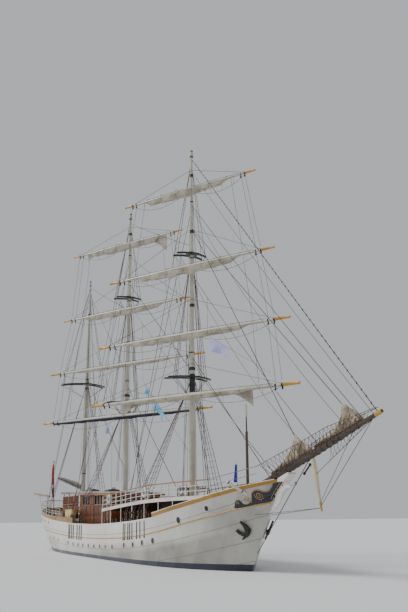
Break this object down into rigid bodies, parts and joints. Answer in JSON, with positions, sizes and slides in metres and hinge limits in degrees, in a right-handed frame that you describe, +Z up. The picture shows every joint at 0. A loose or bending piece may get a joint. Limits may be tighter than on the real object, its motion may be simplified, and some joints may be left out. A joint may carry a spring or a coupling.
{
  "type": "tall ship, three-masted, 1:2 scale model",
  "caption": "Three-masted sailing ship with a clipper bow, long bowsprit, raised walk, deckhouse, furled canvas and yards that brace round on two masts.",
  "frame": {"origin": "middle of the waterline on the ship's centre plane, at the surface of the water", "axes": "+X towards the bow, +Y to port, +Z up"},
  "size_m": [30.1994, 4.9526, 17.8],
  "materials": {
    "hull_paint": "warm white gloss paint on riveted steel plating, navy boot-top and dark red below water",
    "white_paint": "white gloss paint",
    "ochre_paint": "ochre gloss paint on wood",
    "deck_teak": "scrubbed teak planks",
    "varnished_wood": "varnished hardwood",
    "dark_spar_wood": "dark brown varnished spar",
    "roof_paint": "pale blue-white matt paint",
    "spar_paint": "cream gloss paint",
    "black_paint": "black gloss paint",
    "wire_rope": "tarred wire rope",
    "canvas": "weathered off-white sailcloth",
    "navy_canvas": "dark navy sail cover cloth",
    "jib_canvas": "tanned sailcloth, bundled",
    "bronze": "cast bronze",
    "ensign_cloth": "woven bunting in three plain bands"
  },
  "bodies": {
    "root": {"hull": "hull_paint", "deck": "deck_teak", "bulwark_fore_port": "ochre_paint", "bulwark_fore_starboard": "ochre_paint", "bulwark_aft": "ochre_paint", "promenade_deck": "white_paint", "promenade_rail": "white_paint", "deckhouse_wall_port": "varnished_wood", "deckhouse_wall_starboard": "varnished_wood", "deckhouse_wall_fore": "varnished_wood", "deckhouse_wall_aft": "varnished_wood", "deckhouse_roof": "roof_paint", "fore_mast": "spar_paint", "fore_topmast": "spar_paint", "main_mast": "spar_paint", "main_topmast": "spar_paint", "mizzen_mast": "spar_paint", "mizzen_topmast": "spar_paint", "fore_crosstree": "black_paint", "main_crosstree": "black_paint", "mizzen_crosstree": "black_paint", "bowsprit": "dark_spar_wood", "dolphin_striker": "white_paint", "inner_jib_bundle": "jib_canvas", "outer_jib_bundle": "jib_canvas", "fore_stay": "wire_rope", "jib_stays": "wire_rope", "fore_royal_stay": "wire_rope", "main_stay": "wire_rope", "main_topmast_stay": "wire_rope", "mizzen_stay": "wire_rope", "bobstay": "wire_rope", "helm": "varnished_wood", "foredeck_post": "dark_spar_wood", "anchor_port": "black_paint", "anchor_starboard": "black_paint", "ensign_staff": "varnished_wood", "ensign": "ensign_cloth"},
    "fore_course": {"fore_course_yard": "spar_paint", "fore_course_sail": "canvas"},
    "fore_topsail": {"fore_topsail_yard": "spar_paint", "fore_topsail_sail": "canvas"},
    "fore_topgallant": {"fore_topgallant_yard": "spar_paint", "fore_topgallant_sail": "canvas"},
    "fore_royal": {"fore_royal_yard": "spar_paint", "fore_royal_sail": "canvas"},
    "main_course": {"main_course_yard": "spar_paint", "main_course_sail": "navy_canvas"},
    "main_topsail": {"main_topsail_yard": "spar_paint", "main_topsail_sail": "canvas"},
    "main_topgallant": {"main_topgallant_yard": "spar_paint", "main_topgallant_sail": "canvas"},
    "main_royal": {"main_royal_yard": "spar_paint", "main_royal_sail": "canvas"},
    "spanker": {"spanker_boom": "spar_paint", "spanker_sail": "canvas"},
    "rudder": {"rudder": "black_paint"},
    "propeller": {"propeller": "bronze"},
    "door_port": {"door_port": "varnished_wood"},
    "door_starboard": {"door_starboard": "varnished_wood"}
  },
  "joints": [
    {"name": "fore_course_swing", "type": "hinge", "parent": "root", "child": "fore_course", "pos_m": [6.65, 0, 5.91], "axis": [0, 0, 1], "range_deg": [0, 120]},
    {"name": "fore_topsail_swing", "type": "hinge", "parent": "root", "child": "fore_topsail", "pos_m": [6.65, 0, 8.25], "axis": [0, 0, 1], "range_deg": [0, 120]},
    {"name": "fore_topgallant_swing", "type": "hinge", "parent": "root", "child": "fore_topgallant", "pos_m": [6.65, 0, 10.935], "axis": [0, 0, 1], "range_deg": [0, 120]},
    {"name": "fore_royal_swing", "type": "hinge", "parent": "root", "child": "fore_royal", "pos_m": [6.65, 0, 14.18], "axis": [0, 0, 1], "range_deg": [0, 120]},
    {"name": "main_course_swing", "type": "hinge", "parent": "root", "child": "main_course", "pos_m": [-0.35, 0, 5.995], "axis": [0, 0, 1], "range_deg": [0, 120]},
    {"name": "main_topsail_swing", "type": "hinge", "parent": "root", "child": "main_topsail", "pos_m": [-0.35, 0, 8.36], "axis": [0, 0, 1], "range_deg": [0, 120]},
    {"name": "main_topgallant_swing", "type": "hinge", "parent": "root", "child": "main_topgallant", "pos_m": [-0.35, 0, 10.985], "axis": [0, 0, 1], "range_deg": [0, 120]},
    {"name": "main_royal_swing", "type": "hinge", "parent": "root", "child": "main_royal", "pos_m": [-0.35, 0, 14.265], "axis": [0, 0, 1], "range_deg": [0, 120]},
    {"name": "spanker_boom_swing", "type": "hinge", "parent": "root", "child": "spanker", "pos_m": [-6.6, 0, 3.025], "axis": [0, 0, 1], "range_deg": [-35, 35]},
    {"name": "rudder_turn", "type": "hinge", "parent": "root", "child": "rudder", "pos_m": [-10.335, 0, -0.8], "axis": [0, 0, 1], "range_deg": [-35, 35]},
    {"name": "propeller_spin", "type": "hinge", "parent": "root", "child": "propeller", "pos_m": [-9.8, 0, -1.025], "axis": [1, 0, 0], "continuous": true},
    {"name": "door_port_swing", "type": "hinge", "parent": "root", "child": "door_port", "pos_m": [0.375, 1.13635, 1.8], "axis": [0, 0, 1], "range_deg": [0, 100]},
    {"name": "door_starboard_swing", "type": "hinge", "parent": "root", "child": "door_starboard", "pos_m": [0.375, -1.13635, 1.8], "axis": [0, 0, 1], "range_deg": [-100, 0]}
  ],
  "couplings": [
    {"joint": "main_course_swing", "follows": "fore_course_swing", "ratio": 1},
    {"joint": "main_topsail_swing", "follows": "fore_topsail_swing", "ratio": 1},
    {"joint": "main_topgallant_swing", "follows": "fore_topgallant_swing", "ratio": 1},
    {"joint": "main_royal_swing", "follows": "fore_royal_swing", "ratio": 1}
  ]
}
